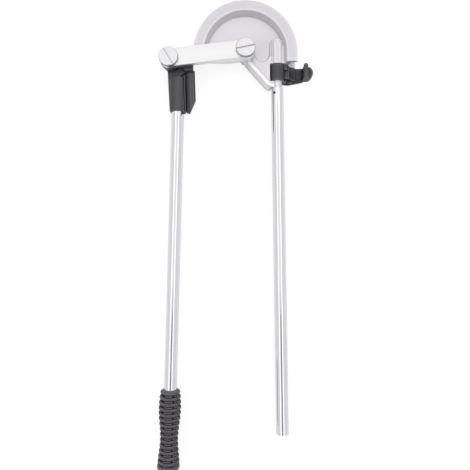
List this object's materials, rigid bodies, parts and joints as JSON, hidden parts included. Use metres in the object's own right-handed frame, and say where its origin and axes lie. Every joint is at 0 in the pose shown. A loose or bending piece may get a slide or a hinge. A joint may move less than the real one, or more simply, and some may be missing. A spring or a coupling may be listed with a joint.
{
  "type": "tube bender",
  "caption": "Two-handed lever tube bender: grooved cast half-disc former with a bare tube handle, a swinging tube hook, and a link arm that carries a lever with a slide channel and a ribbed grip.",
  "frame": {"origin": "on the pivot of the former, in the plane of its rear face, on which the tool lies", "axes": "+Z out of the front face along the pivot, +Y from the handle's end towards the top of the former, +X towards the handle's side"},
  "size_m": [0.2457, 0.6983, 0.0521],
  "materials": {
    "cast_aluminium": "die cast and blasted, with a turned rim",
    "bronze": "plain bearing bronze",
    "chromed_tube": "bright drawn and plated",
    "dark_steel": "oiled spring steel",
    "plated_steel": "satin plated flat bar",
    "screw_steel": "turned and plated",
    "black_moulding": "glass-filled black moulding",
    "grip_rubber": "soft ribbed rubber"
  },
  "bodies": {
    "former": {"former": "cast_aluminium", "hub_bush": "bronze", "handle_tube": "chromed_tube", "handle_pin": "dark_steel"},
    "hook": {"tube_hook": "black_moulding"},
    "link": {"link_arm": "plated_steel", "pivot_screw": "screw_steel", "pivot_thrust_washer": "bronze", "pivot_rear_washer": "screw_steel", "pivot_lock_washer": "dark_steel", "pivot_nut": "screw_steel", "lever_screw": "screw_steel", "lever_thrust_washer": "bronze", "lever_rear_washer": "screw_steel", "lever_lock_washer": "dark_steel", "lever_nut": "screw_steel"},
    "lever": {"slide_block": "black_moulding", "block_bush": "bronze", "lever_tube": "chromed_tube", "lever_pin": "dark_steel", "grip": "grip_rubber"}
  },
  "joints": [
    {"name": "link_swing", "type": "hinge", "parent": "former", "child": "link", "pos_m": [0, 0, 0.017], "axis": [0, 0, 1], "range_deg": [-172, 4]},
    {"name": "lever_swing", "type": "hinge", "parent": "link", "child": "lever", "pos_m": [-0.1117, -0.01174, 0.017], "axis": [0, 0, 1], "range_deg": [-150, 5]},
    {"name": "hook_swing", "type": "hinge", "parent": "former", "child": "hook", "pos_m": [0.0478, -0.0275, 0.017], "axis": [0, 1, 0], "range_deg": [0, 60]}
  ]
}
